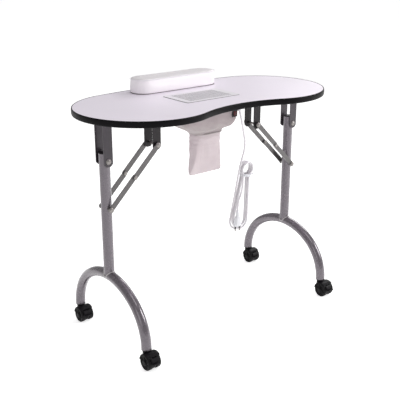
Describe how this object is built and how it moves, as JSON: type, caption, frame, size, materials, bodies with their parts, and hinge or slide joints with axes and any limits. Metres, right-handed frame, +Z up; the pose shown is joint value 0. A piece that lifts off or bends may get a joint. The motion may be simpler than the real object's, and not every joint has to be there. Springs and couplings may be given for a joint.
{
  "type": "folding manicure table",
  "caption": "Kidney-shaped folding manicure table with a dust fan and bag, an arm-rest cushion, hinged arch legs with locking braces, and braked swivel casters.",
  "frame": {"origin": "on the floor under the middle of the bounding box, measured without the mains lead", "axes": "+Z up, +X along the length of the top, -Y the hollow front edge where the technician sits"},
  "size_m": [0.8998, 0.472, 0.788],
  "materials": {
    "tabletop_laminate": "smooth white laminate",
    "edge_band_black": "smooth black strip",
    "grille_plastic": "satin white plastic",
    "cushion_vinyl": "smooth white vinyl",
    "housing_plastic": "satin off-white plastic",
    "bag_cloth": "plain off-white cloth",
    "fan_plastic": "satin black plastic",
    "switch_plastic": "glossy black plastic",
    "rocker_plastic": "glossy red plastic",
    "cord_sheath": "smooth white sheath",
    "tie_plastic": "white coated wire tie",
    "plug_plastic": "smooth white plastic",
    "leg_paint": "satin grey paint",
    "link_paint": "satin grey paint",
    "bracket_paint": "satin dark grey paint",
    "bolt_zinc": "bright zinc plate",
    "cap_plastic": "black plastic",
    "caster_plastic": "satin black plastic",
    "wheel_plastic": "satin black plastic"
  },
  "bodies": {
    "top": {"tabletop_board": "tabletop_laminate", "edge_band": "edge_band_black", "grille_panel": "grille_plastic", "arm_rest_cushion": "cushion_vinyl", "fan_housing": "housing_plastic", "fan_frame": "fan_plastic", "bag_collar": "housing_plastic", "dust_bag": "bag_cloth", "switch_body": "switch_plastic", "cord_gland": "cord_sheath", "cord_lead": "cord_sheath", "cord_hank": "cord_sheath", "cord_tie": "tie_plastic", "cord_plug": "plug_plastic", "left_leg_bracket": "bracket_paint", "left_brace_bracket": "bracket_paint", "left_leg_bolt": "bolt_zinc", "left_brace_bolt": "bolt_zinc", "right_leg_bracket": "bracket_paint", "right_brace_bracket": "bracket_paint", "right_leg_bolt": "bolt_zinc", "right_brace_bolt": "bolt_zinc"},
    "fan_impeller": {"fan_impeller": "fan_plastic"},
    "switch_rocker": {"switch_rocker": "rocker_plastic"},
    "left_leg": {"left_upright": "leg_paint", "left_arch": "leg_paint", "left_upright_cap": "cap_plastic", "left_brace_foot_bolt": "bolt_zinc", "left_caster_sockets": "cap_plastic"},
    "left_upper_links": {"left_upper_link_front": "link_paint", "left_upper_link_rear": "link_paint"},
    "left_lower_links": {"left_lower_link_front": "link_paint", "left_lower_link_rear": "link_paint"},
    "left_front_caster": {"left_front_caster_hood": "caster_plastic", "left_front_caster_axle": "bolt_zinc"},
    "left_front_caster_wheels": {"left_front_caster_wheels": "wheel_plastic"},
    "left_front_caster_brake": {"left_front_caster_brake": "caster_plastic"},
    "left_rear_caster": {"left_rear_caster_hood": "caster_plastic", "left_rear_caster_axle": "bolt_zinc"},
    "left_rear_caster_wheels": {"left_rear_caster_wheels": "wheel_plastic"},
    "left_rear_caster_brake": {"left_rear_caster_brake": "caster_plastic"},
    "right_leg": {"right_upright": "leg_paint", "right_arch": "leg_paint", "right_upright_cap": "cap_plastic", "right_brace_foot_bolt": "bolt_zinc", "right_caster_sockets": "cap_plastic"},
    "right_upper_links": {"right_upper_link_front": "link_paint", "right_upper_link_rear": "link_paint"},
    "right_lower_links": {"right_lower_link_front": "link_paint", "right_lower_link_rear": "link_paint"},
    "right_front_caster": {"right_front_caster_hood": "caster_plastic", "right_front_caster_axle": "bolt_zinc"},
    "right_front_caster_wheels": {"right_front_caster_wheels": "wheel_plastic"},
    "right_front_caster_brake": {"right_front_caster_brake": "caster_plastic"},
    "right_rear_caster": {"right_rear_caster_hood": "caster_plastic", "right_rear_caster_axle": "bolt_zinc"},
    "right_rear_caster_wheels": {"right_rear_caster_wheels": "wheel_plastic"},
    "right_rear_caster_brake": {"right_rear_caster_brake": "caster_plastic"}
  },
  "joints": [
    {"name": "left_leg_fold", "type": "hinge", "parent": "top", "child": "left_leg", "pos_m": [-0.38, 0.009, 0.594], "axis": [0, -1, 0], "range_deg": [0, 90], "deforming": ["dust_bag"]},
    {"name": "left_upper_link_fold", "type": "hinge", "parent": "top", "child": "left_upper_links", "pos_m": [-0.207, 0.009, 0.616], "axis": [0, 1, 0], "range_deg": [0, 85.8]},
    {"name": "left_lower_link_fold", "type": "hinge", "parent": "left_leg", "child": "left_lower_links", "pos_m": [-0.38, 0.009, 0.446], "axis": [0, 1, 0], "range_deg": [0, 11.5]},
    {"name": "left_front_caster_swivel", "type": "hinge", "parent": "left_leg", "child": "left_front_caster", "pos_m": [-0.38, -0.181, 0.053], "axis": [0, 0, 1], "continuous": true},
    {"name": "left_front_caster_roll", "type": "hinge", "parent": "left_front_caster", "child": "left_front_caster_wheels", "pos_m": [-0.38, -0.201, 0.025], "axis": [1, 0, 0], "continuous": true},
    {"name": "left_front_caster_brake_press", "type": "hinge", "parent": "left_front_caster", "child": "left_front_caster_brake", "pos_m": [-0.38, -0.2166, 0.0406], "axis": [1, 0, 0], "range_deg": [0, 5]},
    {"name": "left_rear_caster_swivel", "type": "hinge", "parent": "left_leg", "child": "left_rear_caster", "pos_m": [-0.38, 0.199, 0.053], "axis": [0, 0, 1], "continuous": true},
    {"name": "left_rear_caster_roll", "type": "hinge", "parent": "left_rear_caster", "child": "left_rear_caster_wheels", "pos_m": [-0.38, 0.179, 0.025], "axis": [1, 0, 0], "continuous": true},
    {"name": "left_rear_caster_brake_press", "type": "hinge", "parent": "left_rear_caster", "child": "left_rear_caster_brake", "pos_m": [-0.38, 0.1634, 0.0406], "axis": [1, 0, 0], "range_deg": [0, 5]},
    {"name": "right_leg_fold", "type": "hinge", "parent": "top", "child": "right_leg", "pos_m": [0.38, 0.009, 0.594], "axis": [0, 1, 0], "range_deg": [0, 84], "deforming": ["cord_lead", "cord_hank", "cord_tie", "cord_plug"]},
    {"name": "right_upper_link_fold", "type": "hinge", "parent": "top", "child": "right_upper_links", "pos_m": [0.207, 0.009, 0.616], "axis": [0, -1, 0], "range_deg": [0, 68.7]},
    {"name": "right_lower_link_fold", "type": "hinge", "parent": "right_leg", "child": "right_lower_links", "pos_m": [0.38, 0.009, 0.446], "axis": [0, -1, 0], "range_deg": [-6.6, 0]},
    {"name": "right_front_caster_swivel", "type": "hinge", "parent": "right_leg", "child": "right_front_caster", "pos_m": [0.38, -0.181, 0.053], "axis": [0, 0, 1], "continuous": true},
    {"name": "right_front_caster_roll", "type": "hinge", "parent": "right_front_caster", "child": "right_front_caster_wheels", "pos_m": [0.38, -0.201, 0.025], "axis": [1, 0, 0], "continuous": true},
    {"name": "right_front_caster_brake_press", "type": "hinge", "parent": "right_front_caster", "child": "right_front_caster_brake", "pos_m": [0.38, -0.2166, 0.0406], "axis": [1, 0, 0], "range_deg": [0, 5]},
    {"name": "right_rear_caster_swivel", "type": "hinge", "parent": "right_leg", "child": "right_rear_caster", "pos_m": [0.38, 0.199, 0.053], "axis": [0, 0, 1], "continuous": true},
    {"name": "right_rear_caster_roll", "type": "hinge", "parent": "right_rear_caster", "child": "right_rear_caster_wheels", "pos_m": [0.38, 0.179, 0.025], "axis": [1, 0, 0], "continuous": true},
    {"name": "right_rear_caster_brake_press", "type": "hinge", "parent": "right_rear_caster", "child": "right_rear_caster_brake", "pos_m": [0.38, 0.1634, 0.0406], "axis": [1, 0, 0], "range_deg": [0, 5]},
    {"name": "fan_spin", "type": "hinge", "parent": "top", "child": "fan_impeller", "pos_m": [-0.012, 0.016, 0.684], "axis": [0, 0, 1], "continuous": true},
    {"name": "rocker_tilt", "type": "hinge", "parent": "top", "child": "switch_rocker", "pos_m": [0.076, -0.046, 0.678], "axis": [1, 0, 0], "range_deg": [-8, 8]}
  ],
  "couplings": [
    {"joint": "left_upper_link_fold", "follows": "left_leg_fold", "ratio": 0.94733},
    {"joint": "left_lower_link_fold", "follows": "left_leg_fold", "ratio": 0.1227},
    {"joint": "right_upper_link_fold", "follows": "right_leg_fold", "ratio": 0.81246},
    {"joint": "right_lower_link_fold", "follows": "right_leg_fold", "ratio": -0.07296}
  ]
}
